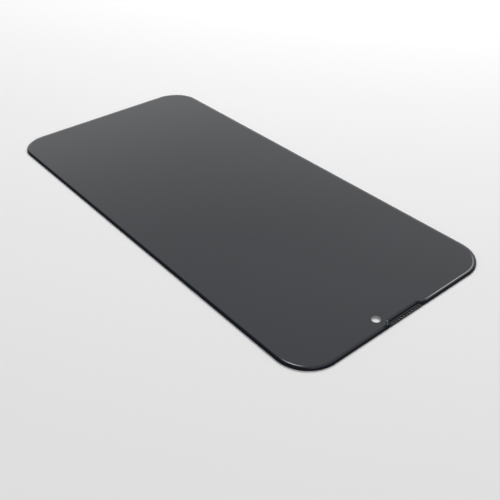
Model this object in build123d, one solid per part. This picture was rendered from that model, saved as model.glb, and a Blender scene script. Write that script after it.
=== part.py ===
from build123d import *
import os
from math import acos, cos, radians, sin, tan

# A full-cover screen protector for a phone: one dark tempered glass sheet with a ground edge all round,
# an earpiece notch in one short side, a camera hole beside it, and a perforated dust strip in the notch.
# The sheet lies face up on its adhesive side, with the earpiece end towards +Y. Lengths are millimetres.

# Sheet
sheet_width = 68.3
sheet_length = 144.0
sheet_thickness = 0.55
corner_radius = 9.5

# Ground edge: a shallow arc from the face down to an upright land, with a fine break under the land
edge_width = 1.0
edge_drop = 0.2
edge_entry_angle = radians(4.0)
underside_break = 0.05

# Earpiece notch: its sharp-cornered shape is a trapezium, rounded at the floor and at the mouth.
# The mouth is rounder than the ground edge is wide, so that the edge can follow it.
notch_floor_width = 10.5
notch_depth = 1.15
notch_floor_radius = 0.8
notch_mouth_spare = 0.3
notch_straight_share = 0.1

# Camera hole, measured from the middle line and from the earpiece end
camera_diameter = 2.3
camera_offset = 7.0
camera_setback = 3.8
camera_break = 0.06

# Dust strip: a perforated bar that fills the notch, with a thin flange glued under the glass.
# The row of holes lies at a share of the bar's width from its outer side.
strip_clearance = 0.06
strip_end_setback = 0.02
flange_width = 0.7
flange_thickness = 0.1
flange_clearance = 0.05
hole_diameter = 0.62
hole_pitch = 0.98
hole_end_margin = 0.15
hole_row_share = 0.43

# Places that follow from the sizes
half_length = sheet_length / 2
land_height = sheet_thickness - edge_drop
notch_floor_y = half_length - notch_depth
notch_mouth_radius = edge_width + notch_mouth_spare
rounded_depth = (1 - notch_straight_share) * notch_depth
notch_flank_angle = acos(1 - rounded_depth / (notch_mouth_radius + notch_floor_radius))
strip_outer_y = half_length - strip_end_setback
strip_floor_y = notch_floor_y + strip_clearance
hole_row_y = strip_outer_y - hole_row_share * (strip_outer_y - strip_floor_y)
hole_row_length = notch_floor_width - 2 * (strip_clearance + hole_end_margin) - hole_diameter
hole_count = int(hole_row_length / hole_pitch) + 1


def notch_shape(growth=0.0):
    """The notch in plan with sharp corners, open past the sheet's end, grown by an amount on every side."""
    top_y = half_length + notch_depth
    floor_half = notch_floor_width / 2
    top_half = floor_half + (top_y - notch_floor_y) / tan(notch_flank_angle)
    right = [(floor_half, notch_floor_y), (top_half, top_y)]
    left = [(-top_half, top_y), (-floor_half, notch_floor_y)]
    trapezium = make_face(Polyline(*right, *left, close=True))
    if growth:
        return offset(trapezium, amount=growth, kind=Kind.INTERSECTION)
    return trapezium


def sheet_outline():
    """The sheet in plan: a rounded rectangle with the rounded notch in its +Y side."""
    outline = RectangleRounded(sheet_width, sheet_length, corner_radius) - notch_shape()
    mouth_half = notch_floor_width / 2 + notch_depth / tan(notch_flank_angle)
    reach = mouth_half + notch_mouth_spare

    def notch_corners():
        return outline.vertices().filter_by_position(Axis.X, -reach, reach).sort_by(Axis.Y)

    outline = fillet(notch_corners()[:2], notch_floor_radius)
    return fillet(notch_corners()[-2:], notch_mouth_radius)


def edge_cutter(outline):
    """What the grinding takes away: the space above the edge's arc, carried round the outline."""
    path = outline.face().outer_wire()
    up = Vector(0, 0, 1)
    start = path.position_at(0)
    outward = path.tangent_at(0).cross(up)
    if outward.dot(start) < 0:
        outward = -outward
    clear = edge_drop / 2
    inner = (-edge_width, sheet_thickness)
    outer = (0, land_height)
    arc = TangentArc(inner, outer, tangent=(cos(edge_entry_angle), -sin(edge_entry_angle)))
    over = Polyline(
        outer,
        (clear, land_height),
        (clear, sheet_thickness + clear),
        (-edge_width, sheet_thickness + clear),
        inner,
    )
    section_plane = Plane(origin=start, x_dir=outward, z_dir=outward.cross(up))
    return sweep(section_plane * make_face(arc + over), path=path)


def camera_cutter():
    """The camera hole with its upper rim broken."""
    radius = camera_diameter / 2
    hole = Pos(0, 0, sheet_thickness / 2) * Cylinder(radius, sheet_thickness)
    rim = Pos(0, 0, sheet_thickness - camera_break / 2) * Cone(radius, radius + camera_break, camera_break)
    return Pos(camera_offset, half_length - camera_setback) * (hole + rim)


def make_tempered_glass():
    outline = sheet_outline()
    sheet = extrude(outline, sheet_thickness)
    underside = sheet.faces().sort_by(Axis.Z)[0]
    sheet = chamfer(underside.edges(), underside_break)
    flange_seat = extrude(notch_shape(flange_width + flange_clearance), flange_thickness)
    return sheet - edge_cutter(outline) - camera_cutter() - flange_seat


def make_earpiece_mesh():
    within_sheet = Pos(0, strip_outer_y - half_length) * Rectangle(sheet_width, sheet_length)
    bar = notch_shape(-strip_clearance) & within_sheet
    bar = fillet(bar.vertices().sort_by(Axis.Y)[:2], notch_floor_radius - strip_clearance)
    flange = notch_shape(flange_width) & within_sheet
    strip = extrude(bar, land_height) + extrude(flange, flange_thickness)
    row = Pos(0, hole_row_y, land_height / 2) * GridLocations(hole_pitch, 0, hole_count, 1)
    return strip - row * Cylinder(hole_diameter / 2, land_height)


os.makedirs("parts", exist_ok=True)
export_step(make_tempered_glass(), "parts/tempered_glass.step")
export_step(make_earpiece_mesh(), "parts/earpiece_mesh.step")
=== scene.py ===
from math import acos, atan2, cos, hypot, pi, radians, sin, tan

import bmesh
import bpy
from mathutils import Matrix, Vector


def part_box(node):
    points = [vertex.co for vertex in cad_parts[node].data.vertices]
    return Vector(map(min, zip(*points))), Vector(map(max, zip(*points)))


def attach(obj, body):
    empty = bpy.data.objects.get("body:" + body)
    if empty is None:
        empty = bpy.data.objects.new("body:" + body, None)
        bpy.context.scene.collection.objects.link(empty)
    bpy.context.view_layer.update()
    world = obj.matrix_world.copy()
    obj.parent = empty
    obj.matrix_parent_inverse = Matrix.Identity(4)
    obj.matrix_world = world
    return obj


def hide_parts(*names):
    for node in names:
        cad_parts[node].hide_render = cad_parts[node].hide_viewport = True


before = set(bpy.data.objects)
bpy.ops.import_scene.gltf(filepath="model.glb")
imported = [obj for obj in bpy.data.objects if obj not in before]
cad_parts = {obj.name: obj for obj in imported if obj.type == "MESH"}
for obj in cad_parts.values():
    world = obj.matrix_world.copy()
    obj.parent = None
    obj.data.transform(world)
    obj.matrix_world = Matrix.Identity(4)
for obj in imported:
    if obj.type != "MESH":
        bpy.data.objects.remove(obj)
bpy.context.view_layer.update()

# A dark full-cover screen protector: a glass sheet with a ground edge, an earpiece notch and a camera hole,
# and the perforated dust strip in the notch. Shapes are worked out in millimetres and scaled to metres.
MM = 0.001

# Sizes that the frame gives
HALF_WIDTH, HALF_LENGTH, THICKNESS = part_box("tempered_glass")[1] / MM
_, STRIP_OUTER_Y, LAND_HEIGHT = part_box("earpiece_mesh")[1] / MM

# Sheet and its ground edge
CORNER_RADIUS = 9.5
EDGE_WIDTH = 1.0
EDGE_ENTRY_ANGLE = radians(4.0)
UNDERSIDE_BREAK = 0.05

# Earpiece notch
NOTCH_FLOOR_WIDTH = 10.5
NOTCH_DEPTH = 1.15
NOTCH_FLOOR_RADIUS = 0.8
NOTCH_MOUTH_RADIUS = 1.3
NOTCH_STRAIGHT_SHARE = 0.1

# Camera hole
CAMERA_RADIUS = 1.15
CAMERA_OFFSET = 7.0
CAMERA_SETBACK = 3.8
CAMERA_BREAK = 0.06

# Dust strip
STRIP_CLEARANCE = 0.06
FLANGE_WIDTH = 0.7
FLANGE_THICKNESS = 0.1
FLANGE_CLEARANCE = 0.05
HOLE_RADIUS = 0.31
HOLE_PITCH = 0.98
HOLE_COUNT = 10
HOLE_ROW_SHARE = 0.43
STRIP_SOFTENING = 0.025

# How finely curves are divided, where the strip's edges stay sharp, and how narrow a face is cleaned out
CORNER_STEPS = 40
NOTCH_STEPS = 20
EDGE_STEPS = 10
CAMERA_STEPS = 96
HOLE_STEPS = 40
RIM_STEPS = 3
STRIP_SHARP_ANGLE = radians(40)
SLIVER_WIDTH = 0.0002

# Places that follow from the sizes
EDGE_DROP = THICKNESS - LAND_HEIGHT
NOTCH_FLOOR_Y = HALF_LENGTH - NOTCH_DEPTH
ROUNDED_DEPTH = (1 - NOTCH_STRAIGHT_SHARE) * NOTCH_DEPTH
NOTCH_FLANK_ANGLE = acos(1 - ROUNDED_DEPTH / (NOTCH_MOUTH_RADIUS + NOTCH_FLOOR_RADIUS))
STRIP_FLOOR_Y = NOTCH_FLOOR_Y + STRIP_CLEARANCE
HOLE_ROW_Y = STRIP_OUTER_Y - HOLE_ROW_SHARE * (STRIP_OUTER_Y - STRIP_FLOOR_Y)
CAMERA_CENTRE = (CAMERA_OFFSET, HALF_LENGTH - CAMERA_SETBACK)


def arc(centre, radius, start, end, steps, hollow=False):
    """Points of an arc, each with its outward direction, which for a hollow arc is towards its centre."""
    points = []
    for step in range(steps + 1):
        angle = start + (end - start) * step / steps
        out = Vector((cos(angle), sin(angle)))
        points.append((Vector(centre) + out * radius, -out if hollow else out))
    return points


def sheet_outline():
    """The sheet in plan, anticlockwise from the corner at +X -Y, as points with outward directions."""
    flank = NOTCH_FLANK_ANGLE
    run_in = tan(flank / 2)
    x = HALF_WIDTH - CORNER_RADIUS
    y = HALF_LENGTH - CORNER_RADIUS
    floor_x = NOTCH_FLOOR_WIDTH / 2 - NOTCH_FLOOR_RADIUS * run_in
    floor_y = NOTCH_FLOOR_Y + NOTCH_FLOOR_RADIUS
    mouth_x = NOTCH_FLOOR_WIDTH / 2 + NOTCH_DEPTH / tan(flank) + NOTCH_MOUTH_RADIUS * run_in
    mouth_y = HALF_LENGTH - NOTCH_MOUTH_RADIUS

    def corner(side_x, side_y, start):
        return arc((side_x * x, side_y * y), CORNER_RADIUS, start, start + pi / 2, CORNER_STEPS)

    def mouth(side, start):
        return arc((side * mouth_x, mouth_y), NOTCH_MOUTH_RADIUS, start, start + flank, NOTCH_STEPS)

    def floor(side, start):
        centre = (side * floor_x, floor_y)
        return arc(centre, NOTCH_FLOOR_RADIUS, start, start - flank, NOTCH_STEPS, hollow=True)

    right_corners = corner(1, -1, -pi / 2) + corner(1, 1, 0)
    notch = mouth(1, pi / 2) + floor(1, flank - pi / 2) + floor(-1, -pi / 2) + mouth(-1, pi / 2 - flank)
    left_corners = corner(-1, 1, pi / 2) + corner(-1, -1, pi)
    return right_corners + notch + left_corners


def edge_profile():
    """The sheet's edge in section, from the underside up to the face, as inset and height."""
    chord_angle = atan2(EDGE_DROP, EDGE_WIDTH)
    last_angle = 2 * chord_angle - EDGE_ENTRY_ANGLE
    radius = hypot(EDGE_WIDTH, EDGE_DROP) / (2 * sin(chord_angle - EDGE_ENTRY_ANGLE))
    profile = [(UNDERSIDE_BREAK, 0.0), (0.0, UNDERSIDE_BREAK)]
    for step in range(EDGE_STEPS + 1):
        slope = last_angle + (EDGE_ENTRY_ANGLE - last_angle) * step / EDGE_STEPS
        reach = radius * (sin(slope) - sin(EDGE_ENTRY_ANGLE))
        drop = radius * (cos(EDGE_ENTRY_ANGLE) - cos(slope))
        profile.append((EDGE_WIDTH - reach, THICKNESS - drop))
    return profile


def add_ring(mesh, points, height):
    """A closed loop of vertices at one height."""
    return [mesh.verts.new((point.x, point.y, height)) for point in points]


def skin(mesh, rings, gap=None):
    """Quads between each ring and the next, left out after the vertex that a gap names."""
    for lower, upper in zip(rings, rings[1:]):
        for index, vertex in enumerate(lower):
            after = (index + 1) % len(lower)
            if index != gap:
                mesh.faces.new((vertex, lower[after], upper[after], upper[index]))


def loop_edges(mesh, ring):
    """The edges of a closed loop of vertices."""
    pairs = zip(ring, ring[1:] + ring[:1])
    return [mesh.edges.get(pair) or mesh.edges.new(pair) for pair in pairs]


def fill(mesh, *rings):
    """A flat face inside the first ring, with the other rings left open in it."""
    edges = [edge for ring in rings for edge in loop_edges(mesh, ring)]
    bmesh.ops.triangle_fill(mesh, edges=edges, use_beauty=True, use_dissolve=False)


def to_piece(mesh, name):
    """A scene object from a mesh, with its faces turned outwards."""
    bmesh.ops.recalc_face_normals(mesh, faces=mesh.faces)
    data = bpy.data.meshes.new(name)
    mesh.to_mesh(data)
    mesh.free()
    piece = bpy.data.objects.new(name, data)
    bpy.context.scene.collection.objects.link(piece)
    return piece


def cut_out(piece, tool):
    """Cuts the tool out of the piece, and keeps only the result."""
    modifier = piece.modifiers.new("cut", "BOOLEAN")
    modifier.object = tool
    modifier.operation = "DIFFERENCE"
    modifier.solver = "EXACT"
    shown = piece.evaluated_get(bpy.context.evaluated_depsgraph_get())
    result = bpy.data.meshes.new_from_object(shown)
    piece.modifiers.clear()
    piece.data = result
    bpy.data.objects.remove(tool)


def clean_slivers(piece):
    """Takes out faces that a cut has left without any width."""
    mesh = bmesh.new()
    mesh.from_mesh(piece.data)
    bmesh.ops.triangulate(mesh, faces=mesh.faces)
    bmesh.ops.dissolve_degenerate(mesh, dist=SLIVER_WIDTH, edges=mesh.edges)
    mesh.to_mesh(piece.data)
    mesh.free()


def prism(name, points, bottom, top):
    """An upright solid on a plan outline."""
    mesh = bmesh.new()
    rings = [add_ring(mesh, points, height) for height in (bottom, top)]
    skin(mesh, rings)
    for ring in rings:
        mesh.faces.new(ring)
    return to_piece(mesh, name)


def circle(centre, radius, steps):
    """Points of a full circle."""
    return [point for point, _ in arc(centre, radius, 0, 2 * pi, steps)][:-1]


def make_glass_sheet():
    """The sheet with its ground edge, its camera hole and the seat for the strip's flange underneath."""
    outline = sheet_outline()
    mesh = bmesh.new()
    edge_rings = []
    for inset, height in edge_profile():
        edge_rings.append(add_ring(mesh, [point - out * inset for point, out in outline], height))
    skin(mesh, edge_rings)
    bore = circle(CAMERA_CENTRE, CAMERA_RADIUS, CAMERA_STEPS)
    rim = circle(CAMERA_CENTRE, CAMERA_RADIUS + CAMERA_BREAK, CAMERA_STEPS)
    hole_rings = [
        add_ring(mesh, rim, THICKNESS),
        add_ring(mesh, bore, THICKNESS - CAMERA_BREAK),
        add_ring(mesh, bore, 0.0),
    ]
    skin(mesh, hole_rings)
    fill(mesh, edge_rings[-1], hole_rings[0])
    fill(mesh, edge_rings[0], hole_rings[-1])
    for face in mesh.faces:
        face.smooth = True
    land_rings, face_ring = edge_rings[:3], edge_rings[-1]
    for ring in [*land_rings, face_ring, *hole_rings]:
        for edge in loop_edges(mesh, ring):
            edge.smooth = False
    piece = to_piece(mesh, "glass_sheet")
    seat_plan = notch_plan(FLANGE_WIDTH + FLANGE_CLEARANCE, HALF_LENGTH + NOTCH_DEPTH)
    cut_out(piece, prism("flange_seat", seat_plan, -THICKNESS, FLANGE_THICKNESS))
    clean_slivers(piece)
    return piece


def notch_plan(growth, outer_y, floor_radius=0.0):
    """The notch's trapezium, grown on every side, out to a straight end, with its floor corners rounded."""
    flank = NOTCH_FLANK_ANGLE
    floor_y = NOTCH_FLOOR_Y - growth
    floor_x = NOTCH_FLOOR_WIDTH / 2 + growth * (1 / sin(flank) - 1 / tan(flank))
    outer_x = floor_x + (outer_y - floor_y) / tan(flank)
    right = [Vector((floor_x, floor_y))]
    left = [Vector((-floor_x, floor_y))]
    if floor_radius:
        centre_x = floor_x - floor_radius * tan(flank / 2)
        centre_y = floor_y + floor_radius
        start = -pi / 2
        rounded = arc((centre_x, centre_y), floor_radius, start, start + flank, NOTCH_STEPS)
        right = [point for point, _ in rounded]
        left = [Vector((-point.x, point.y)) for point in reversed(right)]
    return right + [Vector((outer_x, outer_y)), Vector((-outer_x, outer_y))] + left


def softened_rim():
    """The strip's rounded rims in section, from the wall up to the face, as inset and height."""
    turns = [pi / 2 * step / RIM_STEPS for step in range(RIM_STEPS + 1)]
    return [
        (STRIP_SOFTENING * (1 - cos(turn)), LAND_HEIGHT - STRIP_SOFTENING * (1 - sin(turn)))
        for turn in turns
    ]


def bar_plan(inset):
    """The bar that fills the notch, in plan, less an inset on every side."""
    floor_radius = NOTCH_FLOOR_RADIUS - STRIP_CLEARANCE - inset
    return notch_plan(-STRIP_CLEARANCE - inset, STRIP_OUTER_Y - inset, floor_radius)


def add_sound_hole(mesh, centre):
    """A hole's wall with its rounded rim. Gives its lowest and its highest ring."""
    rings = [add_ring(mesh, circle(centre, HOLE_RADIUS, HOLE_STEPS), 0.0)]
    for inset, height in softened_rim():
        rings.append(add_ring(mesh, circle(centre, HOLE_RADIUS + inset, HOLE_STEPS), height))
    skin(mesh, rings)
    return rings[0], rings[-1]


def make_dust_strip():
    """The bar on its thin flange, which share an upright outer end, and the row of sound holes."""
    mesh = bmesh.new()
    flange_plan = notch_plan(FLANGE_WIDTH, STRIP_OUTER_Y)
    flange = [add_ring(mesh, flange_plan, height) for height in (0.0, FLANGE_THICKNESS)]
    bar = [add_ring(mesh, bar_plan(0), FLANGE_THICKNESS)]
    bar += [add_ring(mesh, bar_plan(inset), height) for inset, height in softened_rim()]
    end = len(bar[0]) // 2 - 1
    skin(mesh, flange, gap=1)
    skin(mesh, bar[:2], gap=end)
    skin(mesh, bar[1:])
    ledge = flange[1][1::-1] + flange[1][:1:-1] + bar[0][end + 1:] + bar[0][:end + 1]
    mesh.faces.new(ledge)
    outer_end = flange[0][2:0:-1] + [flange[1][1], bar[0][end]]
    outer_end += bar[1][end:end + 2] + [bar[0][end + 1], flange[1][2]]
    mesh.faces.new(outer_end)
    first_x = -(HOLE_COUNT - 1) / 2 * HOLE_PITCH
    hole_xs = [first_x + index * HOLE_PITCH for index in range(HOLE_COUNT)]
    holes = [add_sound_hole(mesh, (x, HOLE_ROW_Y)) for x in hole_xs]
    fill(mesh, flange[0], *[lowest for lowest, _ in holes])
    fill(mesh, bar[-1], *[highest for _, highest in holes])
    piece = to_piece(mesh, "dust_strip")
    piece.data.shade_smooth()
    piece.data.set_sharp_from_angle(angle=STRIP_SHARP_ANGLE)
    return piece


def finish_piece(piece, node, material):
    """Scales a piece to metres, gives it its body and its material, and hides the imported part of its node.
    """
    piece.data.transform(Matrix.Scale(MM, 4))
    piece.data.materials.clear()
    piece.data.materials.append(material)
    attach(piece, "root")
    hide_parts(node)


# Glass: its tones from dark to light, its roughness, and how strongly it mirrors
GLASS_IOR = 1.52
FILM_TONES = ((0.0064, 0.0090, 0.0140), (0.0077, 0.0106, 0.0163))
LAND_TONES = ((0.004, 0.004, 0.005), (0.007, 0.007, 0.008))
DRILLED_TONES = ((0.33, 0.345, 0.355), (0.40, 0.415, 0.425))
GLOSS_ROUGHNESS = (0.02, 0.06)
MATT_ROUGHNESS = (0.45, 0.6)
POLISHED_SPECULAR = 0.5
DULL_SPECULAR = 0.1

# Where the glass changes: the shares of the camera hole's broken rim between which the drilled look ends, and
# in millimetres the places on the notch's flanks where the ground edge is dull and the blur at a border
DRILLED_SHARES = (0.3, 0.7)
FLANK_CENTRE = (6.5, 70.9)
FLANK_REACH = (1.0, 1.6)
HEIGHT_BLUR = 0.004

# Dust strip: its tones from dark to light, its painted shade for holes and sides, its roughness, and how
# strongly it mirrors
STRIP_TONES = ((0.011, 0.012, 0.014), (0.018, 0.019, 0.021))
HOLE_SHADE_TONES = ((0.002, 0.002, 0.002), (0.003, 0.003, 0.003))
STRIP_ROUGHNESS = (0.38, 0.55)
STRIP_SPECULAR = 0.18

# Noises: the size of the patches in millimetres and the detail, and the depth of those that are a relief
FILM_NOISE = (38, 3)
GLOSS_NOISE = (14, 5)
GRIND_NOISE = (0.12, 2)
WAVE_NOISE = (6, 1)
WAVE_DEPTH = 0.0006
STRIP_TONE_NOISE = (0.5, 3)
STRIP_GLOSS_NOISE = (0.3, 4)
STRIP_GRAIN_NOISE = (0.06, 2)
STRIP_GRAIN_DEPTH = 0.004

# The part of its range that a noise mostly stays in
NOISE_RANGE = (0.3, 0.7)


class Nodes:
    """A material's node tree, with short calls for the nodes that are used here."""

    def __init__(self, name):
        self.material = bpy.data.materials.new(name)
        self.material.use_nodes = True
        self.tree = self.material.node_tree
        self.shader = self.tree.nodes["Principled BSDF"]
        self.place = self.tree.nodes.new("ShaderNodeTexCoord").outputs["Object"]

    def link(self, source, node, socket):
        self.tree.links.new(source, node.inputs[socket])

    def noise(self, size, detail):
        """Noise whose patches are about the given size in millimetres."""
        node = self.tree.nodes.new("ShaderNodeTexNoise")
        node.inputs["Scale"].default_value = 1 / (size * MM)
        node.inputs["Detail"].default_value = detail
        self.link(self.place, node, "Vector")
        return node.outputs["Fac"]

    def spread(self, value, levels, source=NOISE_RANGE):
        """A value turned from its source range into a range of levels."""
        node = self.tree.nodes.new("ShaderNodeMapRange")
        node.inputs["From Min"].default_value, node.inputs["From Max"].default_value = source
        node.inputs["To Min"].default_value, node.inputs["To Max"].default_value = levels
        self.link(value, node, "Value")
        return node.outputs["Result"]

    def tones(self, value, ends):
        """A colour between two tones, by a value from 0 to 1."""
        node = self.tree.nodes.new("ShaderNodeMix")
        node.data_type = "RGBA"
        node.inputs["A"].default_value = (*ends[0], 1)
        node.inputs["B"].default_value = (*ends[1], 1)
        self.link(value, node, "Factor")
        return node.outputs["Result"]

    def choose(self, mask, kind, first, second):
        """The first output where the mask is 0 and the second where it is 1."""
        node = self.tree.nodes.new("ShaderNodeMix")
        node.data_type = kind
        self.link(mask, node, "Factor")
        self.link(first, node, "A")
        self.link(second, node, "B")
        return node.outputs["Result"]

    def within(self, centre, border):
        """1 near an upright axis and 0 away from it, turning between two distances in millimetres."""
        moved = self.tree.nodes.new("ShaderNodeMapping")
        moved.inputs["Location"].default_value = (-centre[0] * MM, -centre[1] * MM, 0)
        moved.inputs["Scale"].default_value = (1, 1, 0)
        self.link(self.place, moved, "Vector")
        distance = self.tree.nodes.new("ShaderNodeVectorMath")
        distance.operation = "LENGTH"
        self.link(moved.outputs["Vector"], distance, 0)
        return self.spread(distance.outputs["Value"], (1, 0), (border[0] * MM, border[1] * MM))

    def calculate(self, operation, first, second):
        """One step of arithmetic on two outputs."""
        return calculate(self.tree, operation, first, second)

    def below(self, height):
        """1 under a height in millimetres and 0 above it."""
        parts = self.tree.nodes.new("ShaderNodeSeparateXYZ")
        self.link(self.place, parts, "Vector")
        border = ((height - HEIGHT_BLUR) * MM, (height + HEIGHT_BLUR) * MM)
        return self.spread(parts.outputs["Z"], (1, 0), border)

    def bump(self, height, depth):
        """A surface relief of the given depth in millimetres."""
        node = self.tree.nodes.new("ShaderNodeBump")
        node.inputs["Distance"].default_value = depth * MM
        self.link(height, node, "Height")
        return node.outputs["Normal"]


def dark_glass():
    """Polished glass over a dark film with a cool tint, blackened under its edge and light where drilled."""
    nodes = Nodes("dark_glass")
    shader = nodes.shader
    shader.inputs["IOR"].default_value = GLASS_IOR
    land = nodes.below(LAND_HEIGHT)
    drilled = nodes.within(CAMERA_CENTRE, [CAMERA_RADIUS + share * CAMERA_BREAK for share in DRILLED_SHARES])
    film = nodes.spread(nodes.noise(*FILM_NOISE), (0, 1))
    grind = nodes.spread(nodes.noise(*GRIND_NOISE), (0, 1))
    outside = nodes.choose(land, "RGBA", nodes.tones(film, FILM_TONES), nodes.tones(grind, LAND_TONES))
    tone = nodes.choose(drilled, "RGBA", outside, nodes.tones(grind, DRILLED_TONES))
    nodes.link(tone, shader, "Base Color")
    gloss = nodes.spread(nodes.noise(*GLOSS_NOISE), GLOSS_ROUGHNESS)
    matt = nodes.spread(grind, MATT_ROUGHNESS, (0, 1))
    outside = nodes.choose(land, "FLOAT", gloss, matt)
    nodes.link(nodes.choose(drilled, "FLOAT", outside, matt), shader, "Roughness")
    dull = nodes.calculate("MAXIMUM", land, dull_flanks(nodes))
    specular = nodes.spread(dull, (POLISHED_SPECULAR, DULL_SPECULAR), (0, 1))
    nodes.link(specular, shader, "Specular IOR Level")
    nodes.link(nodes.bump(nodes.noise(*WAVE_NOISE), WAVE_DEPTH), shader, "Normal")
    return nodes.material


def dull_flanks(nodes):
    """1 on the ground edge of the notch's two flanks and 0 elsewhere."""
    x, y = FLANK_CENTRE
    flanks = nodes.calculate("MAXIMUM", *[nodes.within((side * x, y), FLANK_REACH) for side in (1, -1)])
    return nodes.calculate("MULTIPLY", flanks, nodes.below(THICKNESS - HEIGHT_BLUR))


def strip_black():
    """Satin black plastic with a fine moulded grain, with painted shade that makes it blacker in its holes
    and on its sides.
    """
    nodes = Nodes("strip_black")
    shader = nodes.shader
    shader.inputs["Specular IOR Level"].default_value = STRIP_SPECULAR
    # Painted shade: hole walls and the sides below the rounded rims get darker tones
    inside = nodes.below(LAND_HEIGHT - 2 * STRIP_SOFTENING)
    tone = nodes.spread(nodes.noise(*STRIP_TONE_NOISE), (0, 1))
    face, hollow = nodes.tones(tone, STRIP_TONES), nodes.tones(tone, HOLE_SHADE_TONES)
    nodes.link(nodes.choose(inside, "RGBA", face, hollow), shader, "Base Color")
    gloss = nodes.spread(nodes.noise(*STRIP_GLOSS_NOISE), STRIP_ROUGHNESS)
    nodes.link(gloss, shader, "Roughness")
    nodes.link(nodes.bump(nodes.noise(*STRIP_GRAIN_NOISE), STRIP_GRAIN_DEPTH), shader, "Normal")
    return nodes.material


# Stage, in metres. The floor turns into the white background far from the sheet.
FLOOR_HALF = 6.0
FLOOR_GAP = 0.00002
FLOOR_TONE = (0.80, 0.80, 0.80)
FLOOR_FADE = (0.10, 0.80)
FLOOR_ROUGHNESS = 0.9
FLOOR_SPECULAR = 0.1
WORLD_LIGHT = 0.55
KEY_PLACE = (-0.51, -0.33, 0.53)
KEY_SIZE = 0.4
KEY_POWER = 5.1

# A card over the sheet that only mirrors see. It is white like the studio, with soft bands. The ground edge
# mirrors a grey one and a dark one at the near end, and a dark one along the +X side. The face mirrors the
# last one, which is nearly white. Each band has its tone, the axis it lies across, where it starts and ends
# on that axis, and where it fades out far off on the other axis.
CARD_HEIGHT = 0.8
CARD_X_ENDS = (-2.0, 0.4)
CARD_Y_ENDS = (-2.4, 0.4)
CARD_BANDS = (
    (0.73, "Y", (-0.43, -0.33), (0.16, 0.40), "X", (-2.0, -1.0)),
    (0.05, "Y", (-0.14, 0.03), (0.16, 0.40), "X", (-2.0, -1.0)),
    (0.05, "X", (-0.30, -0.13), (0.12, 0.40), "Y", (-2.4, -1.3)),
    (0.89, "Y", (-1.60, -1.05), (-0.95, -0.50), "X", (-1.4, -0.6)),
)

# Soft ribbons of light that the ground edge mirrors as thin lines. Each has three places on its path, its
# width, its brightness at the start and end, and the share of its length over which it fades at the start and
# end. The nudge is the share of the path over which its direction is taken.
RIBBONS = {
    "end_ribbon": (
        ((-0.583, -0.180, 0.642), (-0.688, -0.172, 0.560), (-0.757, -0.245, 0.434)),
        0.14,
        (7.0, 2.1),
        (0.10, 0.15),
    ),
    "glint_ribbon": (
        ((-0.245, -0.392, 0.728), (-0.290, -0.331, 0.739), (-0.335, -0.270, 0.750)),
        0.10,
        (13.0, 13.0),
        (0.50, 0.50),
    ),
}
RIBBON_STEPS = 32
RIBBON_COLUMNS = 8
RIBBON_NUDGE = 0.01

# The camera, fitted to the photograph's perspective: where it looks and from how far in millimetres, its
# turns, its lens as a share of the sensor, and from how near it sees in metres
FOCUS = (11.80, 26.47)
CAMERA_DISTANCE = 193.6
CAMERA_AZIMUTH = radians(50.68)
CAMERA_ELEVATION = radians(36.66)
CAMERA_ROLL = radians(-0.69)
FOCAL_SHARE = 1.410
SENSOR = 36.0
CLIP_START = 0.005


def calculate(tree, operation, first, second):
    """One step of arithmetic on two node outputs."""
    node = tree.nodes.new("ShaderNodeMath")
    node.operation = operation
    tree.links.new(first, node.inputs[0])
    tree.links.new(second, node.inputs[1])
    return node.outputs["Value"]


def soft_step(tree, value, border, before, after):
    """A value that turns softly from one level to another between the two ends of a border."""
    node = tree.nodes.new("ShaderNodeMapRange")
    node.interpolation_type = "SMOOTHSTEP"
    node.inputs["From Min"].default_value, node.inputs["From Max"].default_value = border
    node.inputs["To Min"].default_value = before
    node.inputs["To Max"].default_value = after
    tree.links.new(value, node.inputs["Value"])
    return node.outputs["Result"]


def seen_directly(tree):
    """1 for what the camera, mirrors and glass see, and 0 for light that falls on matt surfaces."""
    path = tree.nodes.new("ShaderNodeLightPath")
    mirrored = calculate(tree, "MAXIMUM", path.outputs["Is Glossy Ray"], path.outputs["Is Transmission Ray"])
    return calculate(tree, "MAXIMUM", path.outputs["Is Camera Ray"], mirrored)


def mix_surfaces(tree, factor, first, second, output):
    """The output's surface, from the first shader at a factor of 0 to the second at 1."""
    choice = tree.nodes.new("ShaderNodeMixShader")
    tree.links.new(factor, choice.inputs["Fac"])
    tree.links.new(first, choice.inputs[1])
    tree.links.new(second, choice.inputs[2])
    tree.links.new(choice.outputs["Shader"], output.inputs["Surface"])


def make_floor():
    """A plain pale floor just under the sheet, which far off is as white as the background."""
    mesh = bmesh.new()
    corners = [Vector((x, y)) * FLOOR_HALF for x, y in ((-1, -1), (1, -1), (1, 1), (-1, 1))]
    mesh.faces.new(add_ring(mesh, corners, -FLOOR_GAP))
    floor = to_piece(mesh, "floor")
    material = bpy.data.materials.new("pale_floor")
    material.use_nodes = True
    tree = material.node_tree
    shader = tree.nodes["Principled BSDF"]
    shader.inputs["Base Color"].default_value = (*FLOOR_TONE, 1)
    shader.inputs["Roughness"].default_value = FLOOR_ROUGHNESS
    shader.inputs["Specular IOR Level"].default_value = FLOOR_SPECULAR
    distance = tree.nodes.new("ShaderNodeVectorMath")
    distance.operation = "LENGTH"
    tree.links.new(tree.nodes.new("ShaderNodeTexCoord").outputs["Object"], distance.inputs[0])
    far_off = soft_step(tree, distance.outputs["Value"], FLOOR_FADE, 0.0, 1.0)
    white = tree.nodes.new("ShaderNodeEmission")
    factor = calculate(tree, "MULTIPLY", far_off, seen_directly(tree))
    output = tree.nodes["Material Output"]
    mix_surfaces(tree, factor, shader.outputs["BSDF"], white.outputs["Emission"], output)
    floor.data.materials.append(material)


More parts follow.
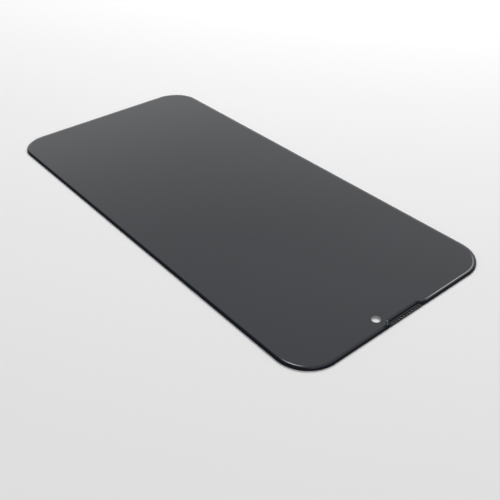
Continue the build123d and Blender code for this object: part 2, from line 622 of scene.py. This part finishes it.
def make_card():
    """The card over the sheet, with soft borders between its white, grey and dark parts."""
    mesh = bmesh.new()
    (left, right), (far, near) = CARD_X_ENDS, CARD_Y_ENDS
    corners = [Vector(corner) for corner in ((left, far), (left, near), (right, near), (right, far))]
    mesh.faces.new(add_ring(mesh, corners, CARD_HEIGHT))
    card = to_piece(mesh, "card")
    material = bpy.data.materials.new("card")
    material.use_nodes = True
    tree = material.node_tree
    tree.nodes.clear()
    place = tree.nodes.new("ShaderNodeSeparateXYZ")
    tree.links.new(tree.nodes.new("ShaderNodeTexCoord").outputs["Object"], place.inputs["Vector"])

    def band(tone, axis, start, end, other_axis, fade):
        rise = soft_step(tree, place.outputs[axis], start, 1.0, tone)
        fall = soft_step(tree, place.outputs[axis], end, tone, 1.0)
        far_off = soft_step(tree, place.outputs[other_axis], fade, 1.0, tone)
        return calculate(tree, "MAXIMUM", calculate(tree, "MAXIMUM", rise, fall), far_off)

    darkest, *others = [band(*form) for form in CARD_BANDS]
    for other in others:
        darkest = calculate(tree, "MINIMUM", darkest, other)
    glow = tree.nodes.new("ShaderNodeEmission")
    tree.links.new(darkest, glow.inputs["Strength"])
    output = tree.nodes.new("ShaderNodeOutputMaterial")
    tree.links.new(glow.outputs["Emission"], output.inputs["Surface"])
    card.data.materials.append(material)
    keep_to_mirrors(card)


def keep_to_mirrors(stage_piece):
    """A piece of the stage that lights nothing and hides nothing, and that only mirrors see."""
    stage_piece.visible_camera = False
    stage_piece.visible_diffuse = False
    stage_piece.visible_transmission = False
    stage_piece.visible_shadow = False


def curve_place(path, along):
    """A place on the smooth curve through three places, from 0 at its start to 1 at its end."""
    start, middle, end = (Vector(place) for place in path)
    start_share = (1 - along) * (1 - 2 * along)
    middle_share = 4 * along * (1 - along)
    end_share = along * (2 * along - 1)
    return start * start_share + middle * middle_share + end * end_share


def fade_in(share):
    """A soft rise from 0 to 1."""
    share = min(max(share, 0.0), 1.0)
    return share * share * (3 - 2 * share)


def ribbon_mesh(path, width, brightness, fades):
    """The ribbon's faces, which turn to the sheet. Its vertices hold its glow, which is 0 along its rims."""
    mesh = bmesh.new()
    glow = mesh.verts.layers.float.new("glow")
    rows = []
    for step in range(RIBBON_STEPS + 1):
        along = step / RIBBON_STEPS
        place = curve_place(path, along)
        direction = curve_place(path, along + RIBBON_NUDGE) - curve_place(path, along - RIBBON_NUDGE)
        across = direction.cross(place).normalized() * width / 2
        level = brightness[0] + (brightness[1] - brightness[0]) * along
        level *= fade_in(along / fades[0]) * fade_in((1 - along) / fades[1])
        row = []
        for column in range(-RIBBON_COLUMNS, RIBBON_COLUMNS + 1):
            share = column / RIBBON_COLUMNS
            vertex = mesh.verts.new(place + across * share)
            vertex[glow] = level * (1 - share ** 2) ** 2
            row.append(vertex)
        rows.append(row)
    for first, second in zip(rows, rows[1:]):
        for index in range(len(first) - 1):
            mesh.faces.new((first[index], first[index + 1], second[index + 1], second[index]))
    return mesh


def add_ribbon(name, path, width, brightness, fades):
    """A soft ribbon of light that only mirrors see, added to what lies behind it."""
    ribbon = to_piece(ribbon_mesh(path, width, brightness, fades), name)
    material = bpy.data.materials.new(name)
    material.use_nodes = True
    tree = material.node_tree
    tree.nodes.remove(tree.nodes["Principled BSDF"])
    level = tree.nodes.new("ShaderNodeAttribute")
    level.attribute_name = "glow"
    light = tree.nodes.new("ShaderNodeEmission")
    tree.links.new(level.outputs["Fac"], light.inputs["Strength"])
    both = tree.nodes.new("ShaderNodeAddShader")
    tree.links.new(light.outputs["Emission"], both.inputs[0])
    tree.links.new(tree.nodes.new("ShaderNodeBsdfTransparent").outputs["BSDF"], both.inputs[1])
    tree.links.new(both.outputs["Shader"], tree.nodes["Material Output"].inputs["Surface"])
    ribbon.data.materials.append(material)
    keep_to_mirrors(ribbon)


def make_world():
    """Soft light from all round, which the camera, mirrors and glass see as plain white."""
    world = bpy.data.worlds.new("studio")
    bpy.context.scene.world = world
    world.use_nodes = True
    tree = world.node_tree
    tree.nodes.clear()

    def background(strength):
        node = tree.nodes.new("ShaderNodeBackground")
        node.inputs["Color"].default_value = (1, 1, 1, 1)
        node.inputs["Strength"].default_value = strength
        return node.outputs["Background"]

    output = tree.nodes.new("ShaderNodeOutputWorld")
    mix_surfaces(tree, seen_directly(tree), background(WORLD_LIGHT), background(1.0), output)


def make_key_lamp():
    """A large soft lamp over the sheet's far -X side, which mirrors don't see."""
    lamp = bpy.data.lights.new("key", "AREA")
    lamp.size = KEY_SIZE
    lamp.energy = KEY_POWER
    holder = bpy.data.objects.new("key", lamp)
    bpy.context.scene.collection.objects.link(holder)
    holder.location = KEY_PLACE
    holder.rotation_euler = holder.location.to_track_quat("Z", "Y").to_euler()
    holder.visible_camera = False
    holder.visible_glossy = False


def make_camera():
    """The camera at the photograph's viewing angle."""
    back = Vector((
        cos(CAMERA_ELEVATION) * cos(CAMERA_AZIMUTH),
        cos(CAMERA_ELEVATION) * sin(CAMERA_AZIMUTH),
        sin(CAMERA_ELEVATION),
    ))
    right = Vector((-sin(CAMERA_AZIMUTH), cos(CAMERA_AZIMUTH), 0))
    turn = Matrix.Rotation(CAMERA_ROLL, 3, back)
    right = turn @ right
    up = back.cross(right)
    data = bpy.data.cameras.new("camera")
    data.sensor_width = SENSOR
    data.lens = FOCAL_SHARE * SENSOR
    data.clip_start = CLIP_START
    camera = bpy.data.objects.new("camera", data)
    bpy.context.scene.collection.objects.link(camera)
    place = (Vector((*FOCUS, 0)) + back * CAMERA_DISTANCE) * MM
    camera.matrix_world = Matrix.Translation(place) @ Matrix((right, up, back)).transposed().to_4x4()
    bpy.context.scene.camera = camera


finish_piece(make_glass_sheet(), "tempered_glass", dark_glass())
finish_piece(make_dust_strip(), "earpiece_mesh", strip_black())
make_floor()
make_card()
make_world()
make_key_lamp()
for ribbon_name, ribbon_form in RIBBONS.items():
    add_ribbon(ribbon_name, *ribbon_form)
make_camera()
bpy.context.scene.view_settings.view_transform = "Standard"
